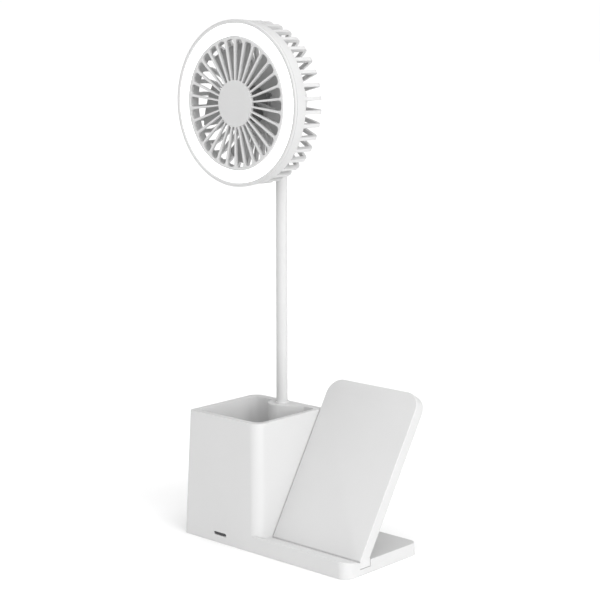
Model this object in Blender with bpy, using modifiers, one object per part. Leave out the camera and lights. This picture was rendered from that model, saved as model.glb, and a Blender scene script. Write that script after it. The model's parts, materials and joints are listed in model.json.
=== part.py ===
"""Desk fan with a ring light, a pen holder and a leaning wireless charging stand.

Sizes are in millimetres and turned into metres by MM. X runs to the right, Y to the back and
Z up. The origin is the middle of the base's footprint, on the desk.
"""
import math

import bmesh
import bpy
from mathutils import Matrix, Vector

MM = 0.001
GAP = 0.3
NAME = "desk_fan"

# Base and pen holder
BASE_W = 160.0
BASE_D = 78.7
BASE_TOP = 9.1
SKIRT_Z = 0.5
DRAFT = 0.04
LEFT_DRAFT = 0.069
REAR_DRAFT = 0.075
PEN_RIGHT = -3.8
PEN_REAR = 38.9
PEN_TOP = 95.2
CUP_FLOOR = 20.0
CUP_WALL = 5.2
CUP_RIGHT_WALL = 3.9
CUP_REAR = 25.7
SKIN = 2.4
LEDGE_TOP = 12.5
LEDGE_BACK_TOP = 9.4
LEDGE_LEFT = -16.0
SLOT_FRONT = -24.4
SLOT_BACK = -13.2
SLOT_FLOOR = 4.3
COVER_LOW = 1.0
COVER_HIGH = 3.0
COVER_LEDGE = 2.2
POST_X = 72.0
POST_Y = 31.0
POST_R = 3.2
PILOT_R = 1.3
SCREW_HEAD_R = 2.3
SINK_R = 2.7
WINDOW_X = -42.2
WINDOW_Z = 6.9
WINDOW_W = 12.7
WINDOW_H = 2.4
INLET_W = 9.6
INLET_H = 3.9

# Charging stand
STAND_TILT = math.radians(30.9)
STAND_LEFT = -3.4
STAND_RIGHT = 79.5
STAND_FLARE = 1.2
STAND_T = 8.9
STAND_LENGTH = 126.9
STAND_Y = -25.3
STAND_Z = 8.4
STAND_CORNER = 12.0
STAND_SKIN = 1.8
STAND_WALL = 2.2
STAND_POCKET_LOW = 12.0
STAND_SCREW_X = 30.0
STAND_SCREW_Z = 62.0
STAND_COVER = 7.0

# Neck
NECK_X = -39.3
NECK_Y = 24.35
NECK_R = 4.2
SOCKET_R = NECK_R + GAP
NECK_FOOT_Z = 70.3
PIVOT_Z = (120.0, 155.0, 190.0, 225.0)
NECK_TOP_Z = 322.6
BOSS_R = 10.6

# Head, measured as radius and as depth behind its front plane
HEAD_Z = 319.6
HEAD_Y = -24.1
HEAD_R = 58.8
HEAD_DEPTH = 30.0
BAND_DEPTH = 11.0
BAND_WALL = 1.7
BAND_TAPER = 0.7
SEAM_DEPTH = 1.6
FRAME_DEPTH = 9.0
LIGHT_R = 56.3
GRILLE_R = 46.9
SLOT_OUTER_R = 44.9
SLOT_INNER_R = 16.6
SPOKES = 30
RIBS = 38
RIB_WIDTH = 2.7
RIB_THICK = 3.3
RIB_BEND = 4.2
DISC_R = 21.0
DISC_T = 2.8
BLADES = 5
BLADE_ROOT_R = 13.6
BLADE_R = 43.0
IMPELLER_TURN = math.radians(18.0)
HUB_R = 15.5
HUB_WALL = 1.8
HUB_FRONT = HEAD_DEPTH + GAP
HUB_BACK = 58.0
NECK_DEPTH = NECK_Y - HEAD_Y
DISC_FRONT = HEAD_DEPTH - DISC_T
BUTTON_SPACING = 6.5
HEAD_SCREW_R = 11.2

STEPS_LARGE = 60
STEPS_SMALL = 24
STEPS_SCREW = 12


def clear_scene():
    """Remove every object that the file holds."""
    for obj in list(bpy.data.objects):
        bpy.data.objects.remove(obj, do_unlink=True)


def new_collection(name):
    """Make a collection of the given name in the scene."""
    collection = bpy.data.collections.new(name)
    bpy.context.scene.collection.children.link(collection)
    return collection


def material(name, colour, roughness, metallic=0.0):
    """Make a Principled material with a plain colour."""
    made = bpy.data.materials.new(name)
    made.use_nodes = True
    shader = made.node_tree.nodes["Principled BSDF"]
    shader.inputs["Base Color"].default_value = (*colour, 1.0)
    shader.inputs["Roughness"].default_value = roughness
    shader.inputs["Metallic"].default_value = metallic
    return made


def place(obj, parent=None, location=(0.0, 0.0, 0.0), rotation=(0.0, 0.0, 0.0)):
    """Put an object at a location in millimetres, under an optional parent."""
    obj.parent = parent
    obj.location = Vector(location) * MM
    obj.rotation_euler = rotation
    bpy.context.view_layer.update()
    return obj


def new_object(name, mesh):
    """Link a mesh as an object of the fan's collection."""
    obj = bpy.data.objects.new(name, mesh)
    parts.objects.link(obj)
    return obj


def tidy(mesh):
    """Weld the mesh's seams and turn its faces outward."""
    work = bmesh.new()
    work.from_mesh(mesh)
    bmesh.ops.remove_doubles(work, verts=work.verts, dist=1e-6)
    bmesh.ops.recalc_face_normals(work, faces=work.faces)
    work.to_mesh(mesh)
    work.free()


def bake(obj):
    """Replace an object's mesh with what its modifiers make of it."""
    graph = bpy.context.evaluated_depsgraph_get()
    mesh = bpy.data.meshes.new_from_object(obj.evaluated_get(graph))
    obj.modifiers.clear()
    obj.data = mesh
    tidy(obj.data)
    return obj


def finish(obj, mat, smooth=True):
    """Give an object its material and its shading."""
    obj.data.materials.clear()
    obj.data.materials.append(mat)
    obj.data.name = obj.name
    if smooth:
        for face in obj.data.polygons:
            face.use_smooth = True
        obj.data.set_sharp_from_angle(angle=math.radians(35.0))
    return obj


def combine(obj, others, operation):
    """Join, cut or intersect an object with others, which are used up."""
    bpy.context.view_layer.update()
    for other in others:
        step = obj.modifiers.new("combine", "BOOLEAN")
        step.operation = operation
        step.solver = "EXACT"
        step.object = other
        bake(obj)
        bpy.data.objects.remove(other, do_unlink=True)
    return obj


def arc(centre, radius, start, end, count):
    """Points along an arc, angles in degrees, both ends included."""
    points = []
    for index in range(count + 1):
        angle = math.radians(start + (end - start) * index / count)
        points.append((centre[0] + radius * math.cos(angle), centre[1] + radius * math.sin(angle)))
    return points


def rounded_box(left, front, right, back, radii, count=5):
    """Outline of a rectangle; radii run front left, front right, back right, back left."""
    corners = ((left, front, 1, 1, 180), (right, front, -1, 1, 270),
               (right, back, -1, -1, 0), (left, back, 1, -1, 90))
    points = []
    for (x, y, sx, sy, start), radius in zip(corners, radii):
        if radius > 0:
            points += arc((x + sx * radius, y + sy * radius), radius, start, start + 90, count)
        else:
            points.append((x, y))
    return points


def prism(name, loops, low, high, axis="Z"):
    """Extrude outlines, the later ones being holes, between two heights along an axis."""
    curve = bpy.data.curves.new(name, "CURVE")
    curve.dimensions = "2D"
    curve.fill_mode = "BOTH"
    curve.extrude = (high - low) / 2 * MM
    for loop in loops:
        spline = curve.splines.new("POLY")
        spline.points.add(len(loop) - 1)
        for point, (x, y) in zip(spline.points, loop):
            point.co = (x * MM, y * MM, 0.0, 1.0)
        spline.use_cyclic_u = True
    shape = bpy.data.objects.new(name + "_outline", curve)
    parts.objects.link(shape)
    bpy.context.view_layer.update()
    graph = bpy.context.evaluated_depsgraph_get()
    mesh = bpy.data.meshes.new_from_object(shape.evaluated_get(graph))
    bpy.data.objects.remove(shape, do_unlink=True)
    middle = (low + high) / 2 * MM
    turns = {
        "Z": Matrix.Identity(4),
        "X": Matrix(((0, 0, 1, 0), (1, 0, 0, 0), (0, 1, 0, 0), (0, 0, 0, 1))),
        "Y": Matrix(((1, 0, 0, 0), (0, 0, -1, 0), (0, 1, 0, 0), (0, 0, 0, 1))),
    }
    shift = Vector((0.0, 0.0, middle if axis != "Y" else -middle))
    mesh.transform(turns[axis] @ Matrix.Translation(shift))
    tidy(mesh)
    return new_object(name, mesh)


def box(name, low, high):
    """A plain box between two corners."""
    outline = rounded_box(low[0], low[1], high[0], high[1], (0, 0, 0, 0))
    return prism(name, [outline], low[2], high[2])


def lean(obj, left=0.0, right=0.0, front=0.0, back=0.0, middle=(0.0, 0.0)):
    """Draft a shape's four sides inward by a slope for each unit of height."""
    for vertex in obj.data.vertices:
        x, y, z = vertex.co
        vertex.co.x += left * z if x < middle[0] * MM else -right * z
        vertex.co.y += front * z if y < middle[1] * MM else -back * z
    return obj


def turned(name, profile, steps, closed=True):
    """Turn a profile of (radius, height) points about Z."""
    mesh = bpy.data.meshes.new(name)
    points = [(radius * MM, 0.0, height * MM) for radius, height in profile]
    edges = [(index, index + 1) for index in range(len(points) - 1)]
    if closed:
        edges.append((len(points) - 1, 0))
    mesh.from_pydata(points, edges, [])
    obj = new_object(name, mesh)
    spin = obj.modifiers.new("turn", "SCREW")
    spin.steps = steps
    spin.render_steps = steps
    spin.use_merge_vertices = True
    spin.merge_threshold = 0.00001
    bpy.context.view_layer.update()
    return bake(obj)


def cylinder(name, radius, low, high, steps=STEPS_SMALL):
    """A solid cylinder about Z."""
    return turned(name, [(0, high), (radius, high), (radius, low), (0, low)], steps, closed=False)


def ring(name, inner, outer, low, high, steps):
    """A flat ring about Z."""
    profile = [(inner, high), (outer, high), (outer, low), (inner, low)]
    return turned(name, profile, steps)


def copies_around(obj, count):
    """Repeat an object's mesh around Z, all in the same mesh."""
    work = bmesh.new()
    work.from_mesh(obj.data)
    first = list(work.verts) + list(work.edges) + list(work.faces)
    for index in range(1, count):
        made = bmesh.ops.duplicate(work, geom=first)["geom"]
        verts = [item for item in made if isinstance(item, bmesh.types.BMVert)]
        turn = Matrix.Rotation(2 * math.pi * index / count, 3, "Z")
        bmesh.ops.rotate(work, verts=verts, cent=(0, 0, 0), matrix=turn)
    work.to_mesh(obj.data)
    work.free()
    return obj


def at(obj, x, y, z=0.0):
    """Move an object's mesh, its origin staying where it is."""
    obj.data.transform(Matrix.Translation(Vector((x, y, z)) * MM))
    return obj


def boss_outline():
    """Plan of the bulge that carries the neck, running out into the cup's rear right corner."""
    points = arc((NECK_X, NECK_Y), BOSS_R, 180, 300, 16)
    start = Vector(points[-1])
    bend = start + Vector((0.87, 0.5)) * 7.2
    end = Vector((NECK_X + 2 * BOSS_R, CUP_REAR))
    for step in range(1, 9):
        t = step / 8
        point = start * (1 - t) ** 2 + bend * 2 * t * (1 - t) + end * t ** 2
        points.append((point.x, point.y))
    return points + [(end.x, CUP_REAR + 9), (NECK_X - BOSS_R, CUP_REAR + 9)]


def base_housing():
    """Base and pen holder in one moulding, hollow from below."""
    half_w = BASE_W / 2
    half_d = BASE_D / 2
    pen_outline = rounded_box(-half_w, -half_d, PEN_RIGHT, PEN_REAR, (3, 8.5, 4, 8))
    body = prism("base_housing", [pen_outline], SKIRT_Z - 4, PEN_TOP)
    lean(body, LEFT_DRAFT, 0, 0, REAR_DRAFT, middle=(-42, 0))
    plate_outline = rounded_box(-half_w + 0.1, -half_d + 8, half_w - 0.02, half_d, (0, 0, 6, 8))
    plate = lean(prism("plate", [plate_outline], SKIRT_Z - 3, BASE_TOP), DRAFT, DRAFT, DRAFT, DRAFT)
    ledge_outline = rounded_box(LEDGE_LEFT, -half_d + 0.05, half_w, SLOT_FRONT, (0, 8, 0, 0))
    ledge = prism("ledge", [ledge_outline], SKIRT_Z - 2, LEDGE_TOP + 2)
    lean(ledge, 0, DRAFT, 0, 0, middle=(0, -30))
    fall = (LEDGE_TOP - LEDGE_BACK_TOP) / (SLOT_FRONT + half_d)
    slope = [(-half_d - 4, LEDGE_TOP + 4 * fall), (SLOT_FRONT + 4, LEDGE_BACK_TOP - 4 * fall),
             (SLOT_FRONT + 4, 30), (-half_d - 4, 30)]
    combine(ledge, [prism("slope", [slope], -30, half_w + 5, "X")], "DIFFERENCE")
    combine(body, [plate, ledge], "UNION")

    cup_top = rounded_box(-half_w + LEFT_DRAFT * PEN_TOP + CUP_WALL, -half_d + CUP_WALL,
                          PEN_RIGHT - CUP_RIGHT_WALL, CUP_REAR, (3, 6, 2.5, 9))
    cup = prism("cup", [cup_top], CUP_FLOOR - PEN_TOP, 6)
    lean(cup, -0.01, -0.01, -0.01, -0.01, middle=(-42, 0))
    at(cup, 0, 0, PEN_TOP)
    combine(cup, [prism("boss", [boss_outline()], CUP_FLOOR - 1, PEN_TOP + 8)], "DIFFERENCE")

    inset = SKIN + 0.4
    wall = half_w - inset
    front = -half_d + inset
    back = half_d - inset
    roof = BASE_TOP - 2.2
    thin = SLOT_FLOOR - 1.0
    slot_wall = 2.7
    pen_room = box("pen_room", (-wall, front, -4),
                   (PEN_RIGHT - SKIN, PEN_REAR - SKIN - 0.8, CUP_FLOOR - 2.2))
    section = [(front, -4), (back, -4), (back, roof), (SLOT_BACK + slot_wall, roof),
               (SLOT_BACK + slot_wall, thin), (SLOT_FRONT - slot_wall, thin),
               (SLOT_FRONT - slot_wall, roof), (front, roof)]
    plate_room = prism("plate_room", [section], -20, wall, "X")
    slot = box("slot", (PEN_RIGHT + 0.1, SLOT_FRONT, SLOT_FLOOR), (half_w + 5, SLOT_BACK, 40))
    wire_gate = box("wire_gate", (34, SLOT_FRONT + 3, -2), (42, SLOT_BACK - 3, 10))
    below = box("below", (-half_w - 9, -half_d - 9, -12), (half_w + 9, half_d + 9, SKIRT_Z))
    combine(body, [below, cup, pen_room, plate_room, slot, wire_gate], "DIFFERENCE")

    corners = [(x, y) for x in (-POST_X, POST_X) for y in (-POST_Y, POST_Y)]
    posts = []
    for x, y in corners:
        top = CUP_FLOOR - 1.5 if x < 0 else roof + 0.7
        posts.append(at(cylinder("post", POST_R, COVER_HIGH + GAP, top, 16), x, y))
    combine(body, posts, "UNION")

    cutters = [at(cylinder("pilot", PILOT_R, 0, 8.0, STEPS_SCREW), x, y) for x, y in corners]
    cutters.append(at(cylinder("neck_bore", SOCKET_R, NECK_FOOT_Z - GAP, PEN_TOP + 5), NECK_X, NECK_Y))
    cutters.append(at(cylinder("wire_bore", 2.0, 10, NECK_FOOT_Z + 2, STEPS_SCREW), NECK_X, NECK_Y))
    window = prism("window", [pill(WINDOW_W, WINDOW_H)], -half_d - 3, -half_d + 6, "Y")
    inlet_hole = prism("inlet_hole", [pill(INLET_W, INLET_H)], half_d - 8, half_d + 3, "Y")
    cutters += [at(window, WINDOW_X, 0, WINDOW_Z), at(inlet_hole, WINDOW_X, 0, WINDOW_Z)]
    combine(body, cutters, "DIFFERENCE")
    return finish(body, white)


def pill(width, height, count=6):
    """A slot outline with round ends, centred on the origin."""
    radius = height / 2
    reach = width / 2 - radius
    right = arc((reach, 0), radius, -90, 90, count)
    left = arc((-reach, 0), radius, 90, 270, count)
    return right + left


def base_fittings():
    """Everything held by the base apart from the stand and the neck."""
    half_w = BASE_W / 2 - SKIN - 0.4 - GAP
    half_d = BASE_D / 2 - SKIN - 0.4 - GAP
    rear = PEN_REAR - SKIN - 0.8 - GAP
    outline = [(-half_w, -half_d), (half_w, -half_d), (half_w, rear), (-half_w, rear)]
    cover = prism("bottom_cover", [outline], COVER_LOW, COVER_HIGH)
    corners = [(x, y) for x in (-POST_X, POST_X) for y in (-POST_Y, POST_Y)]
    step = [(0, 5), (PILOT_R, 5), (PILOT_R, COVER_LEDGE), (SINK_R, COVER_LEDGE), (SINK_R, -2), (0, -2)]
    holes = [at(turned("step_hole", step, STEPS_SCREW, closed=False), x, y) for x, y in corners]
    finish(combine(cover, holes, "DIFFERENCE"), grey)

    mat = prism("anti_slip_mat", [rounded_box(-74, -34, 74, 34, (4, 4, 4, 4), 3)], 0, COVER_LOW - GAP)
    finish(mat, rubber)
    finish(box("counterweight", (-66, -32, COVER_HIGH + GAP), (-12, 9, 14)), steel)
    finish(box("main_board", (-64, 12, 4.4), (-16, 29.5, 6.0)), board)

    screw = [(0, 7.2), (1.0, 7.2), (1.0, 2.0), (SCREW_HEAD_R, 2.0), (SCREW_HEAD_R, 1.1), (0, 1.1)]
    for index, (x, y) in enumerate(corners):
        made = turned("base_screw_%d" % (index + 1), screw, STEPS_SCREW, closed=False)
        place(finish(made, steel), location=(x, y, 0))

    inlet = prism("usb_c_inlet", [pill(INLET_W - 2 * GAP, INLET_H - 2 * GAP)], 30.0, PEN_REAR - 0.6, "Y")
    mouth = prism("mouth", [pill(INLET_W - 1.4, INLET_H - 1.4)], 32.5, 45, "Y")
    place(finish(combine(inlet, [mouth], "DIFFERENCE"), steel), location=(WINDOW_X, 0, WINDOW_Z))
    front = -BASE_D / 2
    lens = prism("indicator_lens", [pill(WINDOW_W - 2 * GAP, WINDOW_H - 2 * GAP)], front + 0.35,
                 front + 3.2, "Y")
    place(finish(lens, smoked), location=(WINDOW_X, 0, WINDOW_Z))


def stand_outline(inset, low):
    """The stand's front view, with its top corners rounded and its right side flaring upward."""
    radius = STAND_CORNER - inset
    outline = rounded_box(STAND_LEFT + inset, low, STAND_RIGHT - inset, STAND_LENGTH - inset,
                          (0, 0, radius, radius))
    middle = (STAND_LEFT + STAND_RIGHT) / 2
    return [(x + STAND_FLARE * z / STAND_LENGTH if x > middle else x, z) for x, z in outline]


def charging_stand():
    """The leaning stand: a tray with its foot, a back cover and the charger inside."""
    lay = {"location": (0, STAND_Y, STAND_Z), "rotation": (-STAND_TILT, 0, 0)}
    tray = prism("stand_tray", [stand_outline(0, -8)], 0, STAND_T, "Y")
    place(tray, **lay)
    join_z = STAND_Z + (SLOT_FRONT + GAP - STAND_Y) / math.tan(STAND_TILT)
    below = box("below", (STAND_LEFT - 5, -60, -40), (STAND_RIGHT + 5, 40, join_z))
    foot = box("foot", (STAND_LEFT, SLOT_FRONT + GAP + 0.05, SLOT_FLOOR + GAP),
               (STAND_RIGHT - 0.03, SLOT_BACK - GAP, join_z + 0.05))
    combine(tray, [below], "DIFFERENCE")
    combine(tray, [foot], "UNION")
    pocket = prism("pocket", [stand_outline(STAND_WALL, STAND_POCKET_LOW)], STAND_SKIN, STAND_T + 4, "Y")
    place(pocket, **lay)
    combine(tray, [pocket], "DIFFERENCE")
    middle = (STAND_LEFT + STAND_RIGHT) / 2
    screw_at = ((middle - STAND_SCREW_X, STAND_SCREW_Z), (middle + STAND_SCREW_X, STAND_SCREW_Z))
    pegs = []
    for x, z in screw_at:
        peg = at(prism("peg", [arc((0, 0), 2.8, 0, 342, 19)], STAND_SKIN - 0.6, STAND_COVER - GAP,
                       "Y"), x, 0, z)
        pegs.append(place(peg, **lay))
    combine(tray, pegs, "UNION")
    pilots = []
    for x, z in screw_at:
        pilot = at(prism("pilot", [arc((0, 0), PILOT_R, 0, 330, 11)], 2.4, 9, "Y"), x, 0, z)
        pilots.append(place(pilot, **lay))
    combine(tray, pilots, "DIFFERENCE")
    finish(tray, white)

    cover = prism("stand_back_cover", [stand_outline(STAND_WALL + GAP, STAND_POCKET_LOW + GAP)],
                  STAND_COVER, STAND_T, "Y")
    place(cover, **lay)
    holes = []
    for x, z in screw_at:
        hole = at(prism("hole", [arc((0, 0), PILOT_R, 0, 330, 11)], 0, 12, "Y"), x, 0, z)
        holes.append(place(hole, **lay))
        sink = at(prism("sink", [arc((0, 0), SINK_R, 0, 330, 11)], STAND_COVER + 0.8, 12, "Y"), x, 0, z)
        holes.append(place(sink, **lay))
    finish(combine(cover, holes, "DIFFERENCE"), white)
    for index, (x, z) in enumerate(screw_at):
        profile = [(0, STAND_T), (SCREW_HEAD_R, STAND_T), (SCREW_HEAD_R, STAND_COVER + 1.1),
                   (1.0, STAND_COVER + 1.1), (1.0, 3.0), (0, 3.0)]
        screw = turned("stand_screw_%d" % (index + 1), profile, STEPS_SCREW, closed=False)
        screw.data.transform(Matrix.Rotation(-math.pi / 2, 4, "X"))
        place(finish(at(screw, x, 0, z), steel), **lay)

    coil = ring("charging_coil", 10, 22, 2.1, 3.3, 36)
    coil.data.transform(Matrix.Rotation(-math.pi / 2, 4, "X"))
    place(finish(at(coil, middle, 0, 68), copper), **lay)
    sheet = prism("ferrite_sheet", [rounded_box(middle - 25, 43, middle + 25, 93, (3, 3, 3, 3), 2)],
                  3.6, 4.4, "Y")
    place(finish(sheet, ferrite), **lay)
    driver = prism("charger_board", [rounded_box(middle - 20, 16, middle + 20, 39, (0, 0, 0, 0))],
                   3.0, 4.2, "Y")
    place(finish(driver, board), **lay)


def neck_link(name, low, high, socket, dome):
    """One rigid length of the flexible neck; its origin is the pivot at its lower end."""
    if dome:
        profile = [(0, high + NECK_R)]
        for step in range(1, 7):
            angle = math.radians(15 * step)
            profile.append((NECK_R * math.sin(angle), high + NECK_R * math.cos(angle)))
    else:
        profile = [(0, high), (NECK_R, high)]
    if socket:
        rim = math.acos(NECK_R / SOCKET_R)
        for step in range(5):
            angle = rim + (math.pi / 2 - rim) * step / 5
            profile.append((SOCKET_R * math.cos(angle), low + SOCKET_R * math.sin(angle)))
        profile.append((0, low + SOCKET_R))
    else:
        profile += [(NECK_R, low), (0, low)]
    return finish(turned(name, profile, STEPS_SMALL, closed=False), sleeve)


def neck():
    """The flexible neck as five rigid lengths with a ball and socket between each two."""
    foot = neck_link("neck_foot", NECK_FOOT_Z - PEN_TOP, PIVOT_Z[0] - PEN_TOP, False, True)
    place(foot, location=(NECK_X, NECK_Y, PEN_TOP))
    for index, pivot in enumerate(PIVOT_Z[:-1]):
        link = neck_link("neck_link_%d" % (index + 1), 0, PIVOT_Z[index + 1] - pivot, True, True)
        place(link, location=(NECK_X, NECK_Y, pivot))
    top = neck_link("neck_top", 0, NECK_TOP_Z - PIVOT_Z[-1], True, False)
    place(top, location=(NECK_X, NECK_Y, PIVOT_Z[-1]))
    collar = [(SOCKET_R, PEN_TOP + 1.4), (4.9, PEN_TOP + 1.4), (5.3, PEN_TOP + 1.0),
              (5.3, PEN_TOP + GAP), (SOCKET_R, PEN_TOP + GAP)]
    place(finish(turned("neck_collar", collar, STEPS_SMALL), white), location=(NECK_X, NECK_Y, 0))
    clip = ring("neck_retainer", SOCKET_R, 8.0, 0, 4.0, STEPS_SMALL)
    combine(clip, [box("flat", (-12, 3.6, -5), (12, 12, 9))], "DIFFERENCE")
    place(finish(clip, steel), location=(NECK_X, NECK_Y, HEAD_Z - HUB_R + HUB_WALL + 3.5))


def light_ring():
    """Front frame of the head with the ring light in its trough."""
    floor = FRAME_DEPTH - 1.6
    trough_r = HEAD_R - BAND_WALL - 0.2
    rim = [(LIGHT_R, 0.3), (LIGHT_R + 0.4, 0.0), (HEAD_R - 0.6, 0.0), (HEAD_R, 0.6),
           (HEAD_R, SEAM_DEPTH), (trough_r, SEAM_DEPTH), (trough_r, FRAME_DEPTH),
           (GRILLE_R - 1.6, FRAME_DEPTH), (GRILLE_R - 1.6, 2.9), (GRILLE_R, 2.9), (GRILLE_R, floor),
           (LIGHT_R - 0.4, floor), (LIGHT_R - 0.4, 2.4), (LIGHT_R, 2.4)]
    place(finish(turned("front_frame", rim[::-1], STEPS_LARGE), white), head)
    lens = ring("light_diffuser", GRILLE_R + GAP, LIGHT_R - GAP, 0.25, 1.85, STEPS_LARGE)
    place(finish(lens, diffuser), head)
    strip = ring("light_board", GRILLE_R + 0.8, LIGHT_R - 1.3, floor - 1.5, floor - GAP, 36)
    place(finish(strip, board), head)


def front_grille():
    """Grille with straight spokes between its rim and its hub disc."""
    inner_half = math.radians(180 / SPOKES) * SLOT_INNER_R - 0.6
    outer_half = math.radians(180 / SPOKES) * SLOT_OUTER_R - 1.15
    slot = arc((SLOT_OUTER_R - 2.2, outer_half - 2.2), 2.2, 90, 0, 3)
    slot += [(x, -y) for x, y in reversed(slot)]
    slot += [(SLOT_INNER_R, -inner_half), (SLOT_INNER_R, inner_half)]
    loops = [arc((0, 0), GRILLE_R, 0, 360 - 360 / STEPS_LARGE, STEPS_LARGE - 1)]
    for index in range(SPOKES):
        turn = 2 * math.pi * index / SPOKES
        loops.append([(x * math.cos(turn) - y * math.sin(turn), x * math.sin(turn) + y * math.cos(turn))
                      for x, y in slot])
    place(finish(prism("front_grille", loops, 0.0, 2.6), white), head)


def rear_shell():
    """Side band, cage of bent ribs and the disc that carries the motor."""
    inner = HEAD_R - BAND_WALL
    band = [(inner, SEAM_DEPTH + GAP), (HEAD_R, SEAM_DEPTH + GAP),
            (HEAD_R - BAND_TAPER, BAND_DEPTH), (inner, BAND_DEPTH)]
    shell = turned("rear_shell", band, 2 * RIBS)
    disc = cylinder("disc", DISC_R, DISC_FRONT, HEAD_DEPTH, STEPS_LARGE)
    outer = HEAD_R - BAND_TAPER - 0.3
    start = BAND_DEPTH - 2.0
    centre = (outer - RIB_BEND, HEAD_DEPTH - RIB_BEND)
    rib = [(outer, start)] + arc(centre, RIB_BEND, 0, 90, 4)
    rib += [(DISC_R - 1.8, HEAD_DEPTH - 0.05), (DISC_R - 1.8, HEAD_DEPTH - 2.6)]
    rib += arc(centre, RIB_BEND - RIB_THICK + 0.4, 90, 0, 3) + [(outer - RIB_THICK + 0.4, start)]
    ribs = prism("ribs", [rib], -RIB_WIDTH / 2, RIB_WIDTH / 2, "Y")
    ribs.data.transform(Matrix.Rotation(math.pi / RIBS, 4, "Z"))
    copies_around(ribs, RIBS)
    combine(shell, [ribs, disc], "UNION")
    holes = []
    for index in range(3):
        angle = math.radians(90 + 120 * index)
        hole = cylinder("hole", PILOT_R, HEAD_DEPTH - 8, HEAD_DEPTH + 4, STEPS_SCREW)
        holes.append(at(hole, HEAD_SCREW_R * math.cos(angle), HEAD_SCREW_R * math.sin(angle)))
    holes.append(cylinder("shaft_gap", 3.0, HEAD_DEPTH - 8, HEAD_DEPTH + 4, STEPS_SCREW))
    bpy.context.view_layer.update()
    combine(shell, holes, "DIFFERENCE")
    place(finish(shell, white), head)


def blade(turn):
    """One pitched impeller blade, thickened from a bent sheet."""
    work = bmesh.new()
    bmesh.ops.create_grid(work, x_segments=5, y_segments=4, size=0.5)
    for vertex in work.verts:
        out = vertex.co.x + 0.5
        chord = vertex.co.y
        radius = BLADE_ROOT_R + (BLADE_R - BLADE_ROOT_R) * out
        spread = math.radians(44 - 4 * out)
        angle = turn + chord * spread + math.radians(14) * out
        depth = 13.0 + chord * 11.0 + 1.5 * math.cos(math.pi * chord)
        vertex.co = Vector((radius * math.cos(angle), radius * math.sin(angle), depth)) * MM
    mesh = bpy.data.meshes.new("blade")
    work.to_mesh(mesh)
    work.free()
    obj = new_object("blade", mesh)
    thick = obj.modifiers.new("thickness", "SOLIDIFY")
    thick.thickness = 1.3 * MM
    thick.offset = 0.0
    bpy.context.view_layer.update()
    return bake(obj)


def impeller_and_motor():
    """The turning impeller on its shaft, and the motor that drives it."""
    cup = [(0, 6.5), (13.5, 6.5), (14.5, 7.5), (14.5, 19.0), (13.0, 19.0), (13.0, 8.3), (3.2, 8.3),
           (3.2, 11.2), (1.3, 11.2), (1.3, 8.3), (0, 8.3)]
    hub = turned("impeller", cup[::-1], 40, closed=False)
    blades = [blade(IMPELLER_TURN + 2 * math.pi * index / BLADES) for index in range(BLADES)]
    combine(hub, blades, "UNION")
    place(finish(hub, blade_white), head)
    back = DISC_FRONT - GAP
    place(finish(cylinder("motor_shaft", 1.0, 8.6, back - 1.4, STEPS_SCREW), steel), head)
    can = [(1.3, 12.3), (8.7, 12.3), (9.5, 13.1), (9.5, back), (1.3, back)]
    place(finish(turned("motor", can[::-1], STEPS_SMALL), steel), head)


def rear_hub():
    """Housing behind the cage that takes the neck and the two buttons."""
    cup = [(0, HUB_FRONT), (HUB_R - 1, HUB_FRONT), (HUB_R, HUB_FRONT + 1), (HUB_R, HUB_BACK),
           (HUB_R - HUB_WALL, HUB_BACK), (HUB_R - HUB_WALL, HUB_FRONT + 2), (0, HUB_FRONT + 2)]
    shell = turned("hub_housing", cup[::-1], 40, closed=False)
    neck_hole = cylinder("neck_hole", SOCKET_R, 5, 30)
    neck_hole.data.transform(Matrix.Rotation(-math.pi / 2, 4, "X"))
    holes = [at(neck_hole, 0, 0, NECK_DEPTH)]
    for index in range(3):
        angle = math.radians(90 + 120 * index)
        hole = cylinder("hole", PILOT_R, HUB_FRONT - 3, HUB_FRONT + 5, STEPS_SCREW)
        holes.append(at(hole, HEAD_SCREW_R * math.cos(angle), HEAD_SCREW_R * math.sin(angle)))
    place(finish(combine(shell, holes, "DIFFERENCE"), white), head)

    for index in range(3):
        angle = math.radians(90 + 120 * index)
        top = HUB_FRONT + 2
        profile = [(0, top + 1.9), (2.1, top + 1.9), (2.1, top + 0.6), (1.0, top + 0.6),
                   (1.0, top - 7.3), (0, top - 7.3)]
        screw = turned("head_screw_%d" % (index + 1), profile, STEPS_SCREW, closed=False)
        at(screw, HEAD_SCREW_R * math.cos(angle), HEAD_SCREW_R * math.sin(angle))
        place(finish(screw, steel), head)

    cover = [(0, HUB_BACK + 2.1), (HUB_R - 1, HUB_BACK + 2.1), (HUB_R, HUB_BACK + 1.1),
             (HUB_R, HUB_BACK + GAP), (0, HUB_BACK + GAP)]
    lid = turned("hub_cover", cover, 40, closed=False)
    holes = []
    for side in (-1, 1):
        hole = cylinder("hole", 3.2, HUB_BACK - 4, HUB_BACK + 6)
        holes.append(at(hole, 0, side * BUTTON_SPACING))
    place(finish(combine(lid, holes, "DIFFERENCE"), white), head)

    place(finish(cylinder("control_board", HUB_R - HUB_WALL - 0.6, 53.0, 54.2, 32), board), head)
    press = [(0, 60.9), (2.4, 60.9), (2.9, 60.4), (2.9, 58.0), (3.8, 58.0), (3.8, 57.2), (1.2, 57.2),
             (1.2, 56.9), (0, 56.9)]
    for side, name in ((-1, "light"), (1, "fan")):
        switch = box("%s_switch" % name, (-2.5, -2.5, 54.5), (2.5, 2.5, 56.0))
        place(finish(switch, rubber), head, (0, side * BUTTON_SPACING, 0))
        button = turned("%s_button" % name, press, STEPS_SMALL, closed=False)
        place(finish(button, grey), head, (0, side * BUTTON_SPACING, 0))


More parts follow.
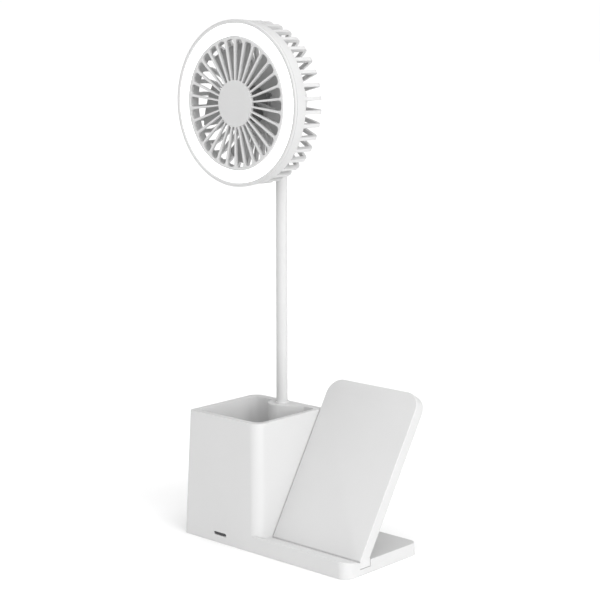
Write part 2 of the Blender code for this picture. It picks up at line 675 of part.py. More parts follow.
clear_scene()
parts = new_collection(NAME)
white = material("housing_white", (0.86, 0.86, 0.86), 0.42)
blade_white = material("blade_white", (0.74, 0.74, 0.74), 0.38)
sleeve = material("sleeve_white", (0.88, 0.88, 0.88), 0.55)
diffuser = material("light_white", (0.96, 0.96, 0.96), 0.30)
grey = material("cover_grey", (0.62, 0.62, 0.63), 0.50)
rubber = material("black_rubber", (0.05, 0.05, 0.05), 0.80)
smoked = material("smoked_lens", (0.03, 0.03, 0.035), 0.15)
steel = material("bright_steel", (0.62, 0.62, 0.63), 0.30, 1.0)
copper = material("coil_copper", (0.72, 0.36, 0.20), 0.35, 1.0)
ferrite = material("ferrite_grey", (0.12, 0.12, 0.12), 0.70)
board = material("board_green", (0.03, 0.22, 0.10), 0.45)

head = bpy.data.objects.new("head_axis", None)
parts.objects.link(head)
place(head, location=(NECK_X, HEAD_Y, HEAD_Z), rotation=(-math.pi / 2, 0, 0))

base_housing()
base_fittings()
charging_stand()
neck()
light_ring()
front_grille()
rear_shell()
impeller_and_motor()
rear_hub()
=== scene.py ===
"""Looks of the desk fan: detailed visible pieces, materials, light and camera around the CAD frame."""
import json
import math

import bmesh
import bpy
from mathutils import Matrix, Vector


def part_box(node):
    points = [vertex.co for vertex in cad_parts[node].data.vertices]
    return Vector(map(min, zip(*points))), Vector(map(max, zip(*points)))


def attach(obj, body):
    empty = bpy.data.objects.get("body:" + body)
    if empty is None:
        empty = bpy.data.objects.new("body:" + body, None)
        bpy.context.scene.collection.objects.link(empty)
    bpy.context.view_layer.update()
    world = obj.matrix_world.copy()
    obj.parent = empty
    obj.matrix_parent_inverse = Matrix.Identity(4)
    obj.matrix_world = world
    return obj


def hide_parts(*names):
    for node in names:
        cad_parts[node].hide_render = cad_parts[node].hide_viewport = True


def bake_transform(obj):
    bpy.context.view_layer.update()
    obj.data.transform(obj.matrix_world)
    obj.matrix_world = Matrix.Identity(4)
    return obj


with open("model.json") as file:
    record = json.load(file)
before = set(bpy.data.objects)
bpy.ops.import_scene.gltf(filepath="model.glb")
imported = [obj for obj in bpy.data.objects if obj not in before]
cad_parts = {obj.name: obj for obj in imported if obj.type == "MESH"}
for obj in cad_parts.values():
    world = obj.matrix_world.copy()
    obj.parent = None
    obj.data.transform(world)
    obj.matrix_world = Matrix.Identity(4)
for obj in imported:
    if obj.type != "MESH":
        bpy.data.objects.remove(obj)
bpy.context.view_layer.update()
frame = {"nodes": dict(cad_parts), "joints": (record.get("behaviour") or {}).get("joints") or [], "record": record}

SCENE = bpy.context.scene
MM = 0.001

# Sizes that the CAD model shares, in millimetres
GAP = 0.3
DRAFT = 0.04
LEFT_DRAFT = 0.069
REAR_DRAFT = 0.075
SKIRT_Z = 0.5
BASE_TOP = 9.1
PEN_RIGHT = -3.8
PEN_REAR = 38.9
CUP_FLOOR = 20.0
CUP_WALL = 5.2
CUP_RIGHT_WALL = 3.9
CUP_REAR = 25.7
SKIN = 2.4
CORNER_SKIN = 1.5
LEDGE_TOP = 12.5
LEDGE_BACK_TOP = 9.4
LEDGE_LEFT = -16.0
SLOT_FRONT = -24.4
SLOT_BACK = -13.2
SLOT_FLOOR = 4.3
BOSS_R = 10.6
NECK_BORE_FLOOR = 70.0
STAND_TILT = math.radians(30.9)
STAND_LEFT = -3.4
STAND_RIGHT = 79.5
STAND_FLARE = 1.2
STAND_Y = -25.3
STAND_Z = 8.4
STAND_T = 8.9
STAND_LENGTH = 126.9
STAND_CORNER = 12.0
STAND_WALL = 2.2
STAND_POCKET_LOW = 12.0
STAND_COVER = 7.0
SINK_R = 2.7
SINK_SIDE = 30
SINK_HEIGHT = 62
BAND_DEPTH = 11.0
BAND_WALL = 1.7
BAND_TAPER = 0.7
SEAM_DEPTH = 1.6
FRAME_DEPTH = 9.0
SPOKES = 30
VENT_INNER_R = 16.6
VENT_OUTER_R = 44.9
VENT_CORNER = 2.4
RIBS = 38
RIB_WIDTH = 2.7
RIB_THICK = 3.3
RIB_BEND = 4.2
DISC_R = 21.0
DISC_T = 2.8
BLADES = 5
BLADE_ROOT_R = 13.6
BLADE_TIP_R = 43.0
BLADE_THICK = 1.25
IMPELLER_TURN = math.radians(18.0)
BUTTON_SPACING = 6.5


def span(node):
    """Lowest and highest corner of a CAD node, in millimetres."""
    low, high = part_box(node)
    return low / MM, high / MM


BASE_LOW, BASE_HIGH = span("base_housing")
FRAME_LOW, FRAME_HIGH = span("front_frame")
SHELL_LOW, SHELL_HIGH = span("rear_shell")
GRILLE_LOW, GRILLE_HIGH = span("front_grille")
LIGHT_LOW, LIGHT_HIGH = span("light_diffuser")
HUB_LOW, HUB_HIGH = span("hub_housing")
LID_LOW, LID_HIGH = span("hub_cover")
NECK_LOW, NECK_HIGH = span("neck_foot")
TOP_LOW, TOP_HIGH = span("neck_top")
LENS_LOW, LENS_HIGH = span("indicator_lens")
INLET_LOW, INLET_HIGH = span("usb_c_inlet")
PEN_TOP = BASE_HIGH.z
HEAD_X = (FRAME_LOW.x + FRAME_HIGH.x) / 2
HEAD_Z = (FRAME_LOW.z + FRAME_HIGH.z) / 2
HEAD_Y = FRAME_LOW.y
HEAD_R = (FRAME_HIGH.x - FRAME_LOW.x) / 2
HEAD_DEPTH = SHELL_HIGH.y - HEAD_Y
GRILLE_R = (GRILLE_HIGH.x - GRILLE_LOW.x) / 2
LIGHT_R = (LIGHT_HIGH.x - LIGHT_LOW.x) / 2 + GAP
NECK_X = (NECK_LOW.x + NECK_HIGH.x) / 2
NECK_Y = (NECK_LOW.y + NECK_HIGH.y) / 2
NECK_R = (NECK_HIGH.x - NECK_LOW.x) / 2
HUB_R = (HUB_HIGH.x - HUB_LOW.x) / 2
HUB_FRONT = HUB_LOW.y - HEAD_Y
HUB_BACK = HUB_HIGH.y - HEAD_Y
LID_BACK = LID_HIGH.y - HEAD_Y
PIVOTS = {joint["name"]: Vector(joint["pos_m"]) / MM for joint in frame["joints"] if "pos_m" in joint}

# ---------------------------------------------------------------- materials


class Recipe:
    """A node tree under construction, with short calls for the nodes used here."""

    def __init__(self, name):
        self.material = bpy.data.materials.new(name)
        self.material.use_nodes = True
        self.tree = self.material.node_tree
        self.shader = self.tree.nodes["Principled BSDF"]
        self.place = self.node("ShaderNodeTexCoord").outputs["Object"]

    def node(self, kind, **values):
        made = self.tree.nodes.new(kind)
        for key, value in values.items():
            setattr(made, key, value)
        return made

    def link(self, source, target):
        self.tree.links.new(source, target)

    def noise(self, size_mm, detail=3.0, rough=0.5, stretch=(1, 1, 1)):
        mapping = self.node("ShaderNodeMapping")
        mapping.inputs["Scale"].default_value = stretch
        self.link(self.place, mapping.inputs["Vector"])
        made = self.node("ShaderNodeTexNoise")
        made.inputs["Scale"].default_value = 1.0 / (size_mm * MM)
        made.inputs["Detail"].default_value = detail
        made.inputs["Roughness"].default_value = rough
        self.link(mapping.outputs["Vector"], made.inputs["Vector"])
        return made.outputs["Fac"]

    def ramp(self, source, low, high, start=0.3, end=0.7):
        made = self.node("ShaderNodeMapRange")
        made.inputs["From Min"].default_value = start
        made.inputs["From Max"].default_value = end
        made.inputs["To Min"].default_value = low
        made.inputs["To Max"].default_value = high
        self.link(source, made.inputs["Value"])
        return made.outputs["Result"]

    def mix(self, factor, first, second):
        made = self.node("ShaderNodeMix", data_type="RGBA")
        self.link(factor, made.inputs["Factor"])
        for socket, value in ((made.inputs[6], first), (made.inputs[7], second)):
            if isinstance(value, tuple):
                socket.default_value = (*value, 1.0)
            else:
                self.link(value, socket)
        return made.outputs[2]

    def bumps(self, layers):
        """Stack bump layers given as (height source, depth in millimetres, strength)."""
        last = None
        for source, depth, strength in layers:
            bump = self.node("ShaderNodeBump")
            bump.inputs["Strength"].default_value = strength
            bump.inputs["Distance"].default_value = depth * MM
            self.link(source, bump.inputs["Height"])
            if last:
                self.link(last, bump.inputs["Normal"])
            last = bump.outputs["Normal"]
        self.link(last, self.shader.inputs["Normal"])

    def edges(self, low=0.52, high=0.60):
        """Convex edges, where handling polishes the surface and where a highlight is painted."""
        geometry = self.node("ShaderNodeNewGeometry")
        return self.ramp(geometry.outputs["Pointiness"], 0.0, 1.0, low, high)


def shade(colour, factor):
    return tuple(min(1.0, channel * factor) for channel in colour)


def moulded(name, colour, rough=0.42, grain=0.35, depth=0.02, strength=0.35, sheen=0.0, dusting=0.97):
    """Moulded plastic: fine eroded texture, faint flow clouds, edges polished by handling, and a painted highlight
    lightening convex edges.
    """
    made = Recipe(name)
    clouds = made.noise(38.0, 2.0)
    fine = made.noise(grain, 4.0, 0.6)
    pores = made.noise(grain * 3.2, 2.0, 0.5)
    base = made.mix(made.ramp(clouds, 0.0, 1.0), colour, shade(colour, dusting))
    base = made.mix(made.ramp(fine, 0.0, 1.0, 0.35, 0.75), base, shade(colour, 0.985))
    # painted highlight: convex edges get a lighter base colour
    base = made.mix(made.edges(), base, shade(colour, 1.02))
    made.link(base, made.shader.inputs["Base Color"])
    polish = made.node("ShaderNodeMath", operation="SUBTRACT")
    made.link(made.ramp(clouds, rough - 0.03, rough + 0.05), polish.inputs[0])
    made.link(made.ramp(made.edges(), 0.0, 0.10, 0.0, 1.0), polish.inputs[1])
    made.link(polish.outputs["Value"], made.shader.inputs["Roughness"])
    made.shader.inputs["Specular IOR Level"].default_value = 0.42
    made.shader.inputs["Sheen Weight"].default_value = sheen
    made.bumps([(fine, depth, strength), (pores, depth * 2, strength * 0.35)])
    return made.material


def lit_diffuser(name):
    """Milky ring in front of the lamps: evenly lit, a trace softer between them."""
    made = Recipe(name)
    haze = made.noise(16.0, 2.0)
    fine = made.noise(0.5, 3.0, 0.6)
    glow = made.mix(made.ramp(haze, 0.0, 1.0), (1.0, 1.0, 1.0), (0.975, 0.98, 0.985))
    made.link(glow, made.shader.inputs["Base Color"])
    made.link(glow, made.shader.inputs["Emission Color"])
    made.shader.inputs["Emission Strength"].default_value = 0.75
    made.link(made.ramp(haze, 0.34, 0.44), made.shader.inputs["Roughness"])
    made.bumps([(fine, 0.01, 0.25)])
    return made.material


def metal(name, colour, rough, brushed=True):
    """Steel or copper with fine brush lines and a little tarnish."""
    made = Recipe(name)
    lines = made.noise(0.6, 3.0, 0.6, (1, 1, 14) if brushed else (1, 1, 1))
    stain = made.noise(6.0, 4.0)
    made.link(made.mix(made.ramp(stain, 0.0, 1.0), colour, shade(colour, 0.8)),
              made.shader.inputs["Base Color"])
    made.shader.inputs["Metallic"].default_value = 1.0
    made.link(made.ramp(lines, rough - 0.06, rough + 0.10), made.shader.inputs["Roughness"])
    made.bumps([(lines, 0.01, 0.3)])
    return made.material


def circuit(name):
    """Circuit board: solder mask over a faint pattern of tracks, with bright pads."""
    made = Recipe(name)
    cells = made.node("ShaderNodeTexVoronoi", feature="DISTANCE_TO_EDGE")
    cells.inputs["Scale"].default_value = 420.0
    made.link(made.place, cells.inputs["Vector"])
    tracks = made.ramp(cells.outputs["Distance"], 1.0, 0.0, 0.02, 0.09)
    base = made.mix(tracks, (0.02, 0.17, 0.08), (0.05, 0.30, 0.14))
    pads = made.node("ShaderNodeTexVoronoi")
    pads.inputs["Scale"].default_value = 260.0
    made.link(made.place, pads.inputs["Vector"])
    base = made.mix(made.ramp(pads.outputs["Distance"], 1.0, 0.0, 0.10, 0.14), base, (0.70, 0.68, 0.62))
    made.link(base, made.shader.inputs["Base Color"])
    made.link(made.ramp(made.noise(5.0), 0.30, 0.45), made.shader.inputs["Roughness"])
    made.bumps([(tracks, 0.03, 0.5)])
    return made.material


# painted shade: the impeller hub is coloured near black to stand in for the shadow inside the head
HUB_PAINTED_SHADE = moulded("hub_painted_shade_look", (0.10, 0.10, 0.10), rough=0.5, grain=0.4, depth=0.012)
WHITE = (0.56, 0.56, 0.56)
MATERIALS = {
    "housing_white": moulded("housing_white_look", WHITE),
    # painted shade: the white blades get a darker grey than the housing, standing in for the shade inside the head
    "blade_white": moulded("blade_white_painted_shade_look", (0.34, 0.34, 0.34), rough=0.36, grain=0.5, depth=0.012),
    "sleeve_white": moulded("sleeve_white_look", (0.56, 0.56, 0.56), rough=0.55, grain=0.25, depth=0.01,
                            sheen=0.08),
    "light_white": lit_diffuser("light_white_look"),
    "cover_grey": moulded("cover_grey_look", (0.55, 0.55, 0.56), rough=0.50, grain=0.6, depth=0.04),
    "black_rubber": moulded("black_rubber_look", (0.035, 0.035, 0.036), rough=0.78, grain=0.9, depth=0.08,
                            strength=0.6),
    "smoked_lens": moulded("smoked_lens_look", (0.045, 0.045, 0.048), rough=0.16, grain=1.4, depth=0.004),
    "bright_steel": metal("bright_steel_look", (0.62, 0.62, 0.63), 0.30),
    "coil_copper": metal("coil_copper_look", (0.72, 0.36, 0.20), 0.35, brushed=False),
    "ferrite_grey": moulded("ferrite_grey_look", (0.10, 0.10, 0.10), rough=0.70, grain=0.7, depth=0.03),
    "board_green": circuit("board_green_look"),
}

# ---------------------------------------------------------------- mesh tools


def link_object(name, data):
    obj = bpy.data.objects.new(name, data)
    SCENE.collection.objects.link(obj)
    return obj


def weld(mesh, distance=1e-6):
    work = bmesh.new()
    work.from_mesh(mesh)
    bmesh.ops.remove_doubles(work, verts=work.verts, dist=distance)
    bmesh.ops.recalc_face_normals(work, faces=work.faces)
    work.to_mesh(mesh)
    work.free()


def bake(obj):
    """Replace an object's data with what its modifiers or its curve make."""
    bpy.context.view_layer.update()
    graph = bpy.context.evaluated_depsgraph_get()
    mesh = bpy.data.meshes.new_from_object(obj.evaluated_get(graph))
    if obj.type == "MESH":
        obj.modifiers.clear()
        obj.data = mesh
        weld(mesh)
        return obj
    name = obj.name
    matrix = obj.matrix_world.copy()
    bpy.data.objects.remove(obj, do_unlink=True)
    weld(mesh)
    made = link_object(name, mesh)
    made.matrix_world = matrix
    return made


def boolean(obj, others, operation):
    for other in others:
        step = obj.modifiers.new("combine", "BOOLEAN")
        step.operation = operation
        step.solver = "EXACT"
        step.object = other
        bake(obj)
        bpy.data.objects.remove(other, do_unlink=True)
    return obj


def arc(centre, radius, start, end, count):
    points = []
    for index in range(count + 1):
        angle = math.radians(start + (end - start) * index / count)
        points.append((centre[0] + radius * math.cos(angle), centre[1] + radius * math.sin(angle)))
    return points


def rounded_box(left, front, right, back, radii, count=12):
    """Outline of a rectangle; radii run front left, front right, back right, back left."""
    corners = ((left, front, 1, 1, 180), (right, front, -1, 1, 270),
               (right, back, -1, -1, 0), (left, back, 1, -1, 90))
    points = []
    for (x, y, sx, sy, start), radius in zip(corners, radii):
        if radius > 0:
            points += arc((x + sx * radius, y + sy * radius), radius, start, start + 90, count)
        else:
            points.append((x, y))
    return points


def pill(width, height, count=12):
    radius = height / 2
    reach = width / 2 - radius
    return arc((reach, 0), radius, -90, 90, count) + arc((-reach, 0), radius, 90, 270, count)


TURNS = {
    "Z": Matrix.Identity(4),
    "X": Matrix(((0, 0, 1, 0), (1, 0, 0, 0), (0, 1, 0, 0), (0, 0, 0, 1))),
    "Y": Matrix(((1, 0, 0, 0), (0, 0, -1, 0), (0, 1, 0, 0), (0, 0, 0, 1))),
}


def prism(name, loops, low, high, axis="Z", edge=0.0, steps=3):
    """Extrude outlines, later ones being holes, with edges rounded to the radius edge."""
    curve = bpy.data.curves.new(name, "CURVE")
    curve.dimensions = "2D"
    curve.fill_mode = "BOTH"
    curve.extrude = ((high - low) / 2 - edge) * MM
    curve.bevel_depth = edge * MM
    curve.bevel_resolution = steps
    curve.offset = -edge * MM
    for loop in loops:
        spline = curve.splines.new("POLY")
        spline.points.add(len(loop) - 1)
        for point, (x, y) in zip(spline.points, loop):
            point.co = (x * MM, y * MM, 0.0, 1.0)
        spline.use_cyclic_u = True
    obj = bake(link_object(name, curve))
    middle = (low + high) / 2 * MM
    shift = Vector((0.0, 0.0, middle if axis != "Y" else -middle))
    obj.data.transform(TURNS[axis] @ Matrix.Translation(shift))
    return obj


def box(name, low, high):
    outline = [(low[0], low[1]), (high[0], low[1]), (high[0], high[1]), (low[0], high[1])]
    return prism(name, [outline], low[2], high[2])


def lean(obj, left, right, front, back, middle):
    """Draft a shape's four sides inward by a slope for each unit of height."""
    for vertex in obj.data.vertices:
        x, y, z = vertex.co
        vertex.co.x += left * z if x < middle[0] * MM else -right * z
        vertex.co.y += front * z if y < middle[1] * MM else -back * z
    return obj


def turned(name, profile, steps=128, closed=True):
    """Turn a profile of (radius, height) points about Z."""
    mesh = bpy.data.meshes.new(name)
    edges = [(index, index + 1) for index in range(len(profile) - 1)]
    if closed:
        edges.append((len(profile) - 1, 0))
    mesh.from_pydata([(radius * MM, 0.0, height * MM) for radius, height in profile], edges, [])
    obj = link_object(name, mesh)
    spin = obj.modifiers.new("turn", "SCREW")
    spin.steps = steps
    spin.render_steps = steps
    spin.use_merge_vertices = True
    spin.merge_threshold = 0.00001
    return bake(obj)


def rounded(profile, radius, count=4):
    """Round every corner of a closed outline; radius is a number or one for each corner."""
    points = []
    total = len(profile)
    for index, here in enumerate(profile):
        size = radius[index] if isinstance(radius, (list, tuple)) else radius
        if size <= 0:
            points.append(here)
            continue
        here = Vector(here)
        before = Vector(profile[index - 1]) - here
        after = Vector(profile[(index + 1) % total]) - here
        angle = before.angle(after)
        reach = min(size / math.tan(angle / 2), before.length * 0.49, after.length * 0.49)
        start = here + before.normalized() * reach
        end = here + after.normalized() * reach
        for step in range(count + 1):
            t = step / count
            point = start * (1 - t) ** 2 + here * 2 * t * (1 - t) + end * t ** 2
            points.append((point.x, point.y))
    return points


def at(obj, x, y, z=0.0):
    obj.data.transform(Matrix.Translation(Vector((x, y, z)) * MM))
    return obj


def merge(name, pieces):
    """Join several mesh objects into one, keeping each as its own closed skin."""
    work = bmesh.new()
    for piece in pieces:
        start = len(work.verts)
        work.from_mesh(piece.data)
        work.verts.ensure_lookup_table()
        bmesh.ops.transform(work, matrix=piece.matrix_world, verts=work.verts[start:])
        bpy.data.objects.remove(piece, do_unlink=True)
    mesh = bpy.data.meshes.new(name)
    work.to_mesh(mesh)
    work.free()
    return link_object(name, mesh)


def around(obj, count):
    """Repeat an object's mesh around Z in the same mesh."""
    work = bmesh.new()
    work.from_mesh(obj.data)
    first = list(work.verts) + list(work.edges) + list(work.faces)
    for index in range(1, count):
        made = bmesh.ops.duplicate(work, geom=first)["geom"]
        verts = [item for item in made if isinstance(item, bmesh.types.BMVert)]
        turn = Matrix.Rotation(2 * math.pi * index / count, 3, "Z")
        bmesh.ops.rotate(work, verts=verts, cent=(0, 0, 0), matrix=turn)
    work.to_mesh(obj.data)
    work.free()
    return obj


SHARP_ANGLE = 25


def round_edges(obj, chosen, width, segments=4):
    """Round the sharp edges for which chosen(first, second) holds, in millimetres."""
    work = bmesh.new()
    work.from_mesh(obj.data)
    picked = []
    for edge in work.edges:
        if len(edge.link_faces) != 2:
            continue
        angle = math.degrees(edge.calc_face_angle(0.0))
        first, second = (vertex.co / MM for vertex in edge.verts)
        if angle > SHARP_ANGLE and chosen(first, second):
            picked.append(edge)
    bmesh.ops.bevel(work, geom=picked, offset=width * MM, segments=segments, profile=0.5,
                    affect="EDGES", clamp_overlap=True)
    bmesh.ops.remove_doubles(work, verts=work.verts, dist=1e-6)
    bmesh.ops.recalc_face_normals(work, faces=work.faces)
    work.to_mesh(obj.data)
    work.free()
    return obj


def smooth(obj, angle=32.0):
    for face in obj.data.polygons:
        face.use_smooth = True
    obj.data.set_sharp_from_angle(angle=math.radians(angle))
    return obj


HEAD = Matrix.Translation(Vector((HEAD_X, HEAD_Y, HEAD_Z)) * MM) @ Matrix.Rotation(-math.pi / 2, 4, "X")
STAND = Matrix.Translation(Vector((0, STAND_Y, STAND_Z)) * MM) @ Matrix.Rotation(-STAND_TILT, 4, "X")


def show(obj, slot_name, body, nodes, matrix=None, angle=32.0):
    """Finish a visible piece: its place, shading, material, body and the CAD nodes it stands for."""
    if matrix is not None:
        obj.data.transform(matrix)
    smooth(obj, angle)
    obj.data.materials.clear()
    obj.data.materials.append(MATERIALS[slot_name])
    if body:
        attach(obj, body)
    if nodes:
        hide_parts(*nodes)
    return obj


# ---------------------------------------------------------------- base


def boss_outline():
    """Plan of the bulge that carries the neck, running out into the cup's rear right corner."""
    points = arc((NECK_X, NECK_Y), BOSS_R, 180, 300, 40)
    start = Vector(points[-1])
    bend = start + Vector((0.87, 0.5)) * 7.2
    end = Vector((NECK_X + 2 * BOSS_R, CUP_REAR))
    for step in range(1, 21):
        t = step / 20
        point = start * (1 - t) ** 2 + bend * 2 * t * (1 - t) + end * t ** 2
        points.append((point.x, point.y))
    return points + [(end.x, CUP_REAR + 9), (NECK_X - BOSS_R, CUP_REAR + 9)]


def base_look():
    """Base and pen holder with rounded rims and a softened ledge.

    The room under the cup starts CORNER_SKIN further in than the CAD's, whose corner cuts through the wall.
    """
    left, right = BASE_LOW.x - 0.02, BASE_HIGH.x + 0.02
    front, back = BASE_LOW.y, BASE_HIGH.y + DRAFT * SKIRT_Z
    skirt = 0.12
    body = prism("base_look", [rounded_box(left, front, PEN_RIGHT, PEN_REAR, (3, 8.5, 4, 8))], skirt - 4,
                 PEN_TOP)
    lean(body, LEFT_DRAFT, 0, 0, REAR_DRAFT, (-42, 0))
    plate = prism("plate", [rounded_box(left + 0.1, front + 8, right - 0.02, back, (0, 0, 6, 8))],
                  skirt - 3, BASE_TOP)
    lean(plate, DRAFT, DRAFT, DRAFT, DRAFT, (0, 0))
    ledge = prism("ledge", [rounded_box(LEDGE_LEFT, front + 0.05, right, SLOT_FRONT, (0, 8, 0, 0))],
                  skirt - 2, LEDGE_TOP + 2)
    lean(ledge, 0, DRAFT, 0, 0, (0, -30))
    fall = (LEDGE_TOP - LEDGE_BACK_TOP) / (SLOT_FRONT - front)
    slope = [(front - 4, LEDGE_TOP + 4 * fall), (SLOT_FRONT + 4, LEDGE_BACK_TOP - 4 * fall),
             (SLOT_FRONT + 4, 30), (front - 4, 30)]
    boolean(ledge, [prism("slope", [slope], -30, right + 5, "X")], "DIFFERENCE")

    def ledge_edge(first, second):
        level = min(first.z, second.z) > LEDGE_BACK_TOP - 0.5
        before_slot = max(first.y, second.y) < SLOT_FRONT + 0.1
        return level and before_slot and max(first.x, second.x) > LEDGE_LEFT + 1

    def plate_edge(first, second):
        return min(first.z, second.z) > BASE_TOP - 0.05

    round_edges(ledge, ledge_edge, 0.7)
    round_edges(plate, plate_edge, 0.6)
    boolean(body, [plate, ledge], "UNION")

    below = box("below", (left - 9, front - 9, -12), (right + 9, back + 9, skirt))
    cup_top = rounded_box(left + LEFT_DRAFT * PEN_TOP + CUP_WALL, front + CUP_WALL,
                          PEN_RIGHT - CUP_RIGHT_WALL, CUP_REAR, (3, 6, 2.5, 9))
    cup = prism("cup", [cup_top], CUP_FLOOR - PEN_TOP, 6)
    lean(cup, -0.01, -0.01, -0.01, -0.01, (-42, 0))
    at(cup, 0, 0, PEN_TOP)
    boolean(cup, [prism("boss", [boss_outline()], CUP_FLOOR - 1, PEN_TOP + 8)], "DIFFERENCE")
    wall = right - SKIN - 0.4
    pen_room = box("pen_room", (-wall + CORNER_SKIN, front + SKIN + 0.4, -4),
                   (PEN_RIGHT - SKIN, PEN_REAR - SKIN - 0.8, CUP_FLOOR - 2.2))
    inner_front = front + SKIN + 0.4
    inner_back = back - SKIN - 0.4
    roof = BASE_TOP - 2.2
    thin = SLOT_FLOOR - 1.0
    section = [(inner_front, -4), (inner_back, -4), (inner_back, roof), (SLOT_BACK + 2.7, roof),
               (SLOT_BACK + 2.7, thin), (SLOT_FRONT - 2.7, thin), (SLOT_FRONT - 2.7, roof),
               (inner_front, roof)]
    plate_room = prism("plate_room", [section], -20, wall, "X")
    slot_cut = box("slot_cut", (PEN_RIGHT + 0.1, SLOT_FRONT, SLOT_FLOOR), (right + 5, SLOT_BACK, 40))
    bore = turned("bore", [(0, PEN_TOP + 5), (NECK_R + GAP, PEN_TOP + 5), (NECK_R + GAP, NECK_BORE_FLOOR),
                           (0, NECK_BORE_FLOOR)], 48, closed=False)
    boolean(body, [below, cup, pen_room, plate_room, slot_cut, at(bore, NECK_X, NECK_Y)], "DIFFERENCE")
    window_w = LENS_HIGH.x - LENS_LOW.x + 2 * GAP
    window_h = LENS_HIGH.z - LENS_LOW.z + 2 * GAP
    window_x = (LENS_LOW.x + LENS_HIGH.x) / 2
    window_z = (LENS_LOW.z + LENS_HIGH.z) / 2
    window = prism("window", [pill(window_w, window_h)], front - 3, front + 6, "Y")
    at(window, window_x, 0, window_z)
    inlet = prism("inlet", [pill(INLET_HIGH.x - INLET_LOW.x + 2 * GAP,
                                 INLET_HIGH.z - INLET_LOW.z + 2 * GAP)], back - 8, back + 3, "Y")
    at(inlet, (INLET_LOW.x + INLET_HIGH.x) / 2, 0, (INLET_LOW.z + INLET_HIGH.z) / 2)
    boolean(body, [window, inlet], "DIFFERENCE")

    def rim(first, second):
        return min(first.z, second.z) > PEN_TOP - 0.01

    round_edges(body, rim, 0.9)
    show(body, "housing_white", "base", ["base_housing"])


def lens_look():
    """Smoked window of the indicator, with rounded edges."""
    width = LENS_HIGH.x - LENS_LOW.x
    height = LENS_HIGH.z - LENS_LOW.z
    lens = prism("indicator_lens_look", [pill(width, height)], LENS_LOW.y, LENS_HIGH.y, "Y", edge=0.25)
    at(lens, (LENS_LOW.x + LENS_HIGH.x) / 2, 0, (LENS_LOW.z + LENS_HIGH.z) / 2)
    show(lens, "smoked_lens", "base", ["indicator_lens"])


def stand_outline(inset, low):
    radius = STAND_CORNER - inset
    outline = rounded_box(STAND_LEFT + inset, low, STAND_RIGHT - inset, STAND_LENGTH - inset,
                          (0, 0, radius, radius))
    middle = (STAND_LEFT + STAND_RIGHT) / 2
    return [(x + STAND_FLARE * z / STAND_LENGTH if x > middle else x, z) for x, z in outline]


def stand_look():
    """Leaning tray with softened edges, and its back cover."""
    tray = prism("stand_tray_look", [stand_outline(0, -8)], 0, STAND_T, "Y", edge=0.6, steps=4)
    tray.data.transform(STAND)
    join_z = STAND_Z + (SLOT_FRONT + GAP - STAND_Y) / math.tan(STAND_TILT)
    below = box("below", (STAND_LEFT - 5, -60, -40), (STAND_RIGHT + 5, 40, join_z))
    foot = box("foot", (STAND_LEFT, SLOT_FRONT + GAP + 0.05, SLOT_FLOOR + GAP),
               (STAND_RIGHT - 0.03, SLOT_BACK - GAP, join_z + 0.05))
    boolean(tray, [below], "DIFFERENCE")
    boolean(tray, [foot], "UNION")
    pocket = prism("pocket", [stand_outline(STAND_WALL, STAND_POCKET_LOW)], STAND_COVER - 1, STAND_T + 4, "Y")
    pocket.data.transform(STAND)
    boolean(tray, [pocket], "DIFFERENCE")
    show(tray, "housing_white", "base", ["stand_tray"])
    cover = prism("stand_back_look", [stand_outline(STAND_WALL + GAP, STAND_POCKET_LOW + GAP)],
                  STAND_COVER, STAND_T, "Y", edge=0.35)
    cover.data.transform(STAND)
    middle = (STAND_LEFT + STAND_RIGHT) / 2
    sinks = []
    for side in (-1, 1):
        sink = prism("sink", [arc((0, 0), SINK_R, 0, 352.5, 47)], STAND_COVER + 0.8, 12, "Y")
        at(sink, middle + side * SINK_SIDE, 0, SINK_HEIGHT)
        sink.data.transform(STAND)
        sinks.append(sink)
    boolean(cover, sinks, "DIFFERENCE")
    show(cover, "housing_white", "base", ["stand_back_cover"])


# ---------------------------------------------------------------- neck


def neck_look():
    """Silicone sleeve of the neck, one length across each of the four joints."""
    heights = [PIVOTS["neck_bend_%d" % (index + 1)].z for index in range(4)]
    middles = [(heights[index] + heights[index + 1]) / 2 for index in range(3)]
    ends = [NECK_LOW.z + 0.2] + middles + [TOP_HIGH.z - 0.2]
    nodes = [["neck_foot"], ["neck_link_1"], ["neck_link_2"], ["neck_link_3", "neck_top"]]
    for index in range(4):
        low, high = ends[index], ends[index + 1]
        rings = int((high - low) / 1.25)
        levels = [high - (high - low) * step / rings for step in range(rings + 1)]
        profile = [(0, high)] + [(NECK_R, level) for level in levels] + [(0, low)]
        piece = turned("neck_sleeve_%d" % (index + 1), profile, 48, closed=False)
        at(piece, NECK_X, NECK_Y)
        show(piece, "sleeve_white", None, [])
        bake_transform(piece)
        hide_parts(*nodes[index])

    radius = NECK_R + GAP * 0.35
    profile = rounded([(radius, PEN_TOP + 1.4), (5.3, PEN_TOP + 1.4), (5.3, PEN_TOP - 0.1),
                       (radius, PEN_TOP - 0.1)], [0.2, 0.6, 0.1, 0.1])
    collar = at(turned("neck_collar_look", profile, 64), NECK_X, NECK_Y)
    show(collar, "housing_white", "base", ["neck_collar"])


# ---------------------------------------------------------------- head


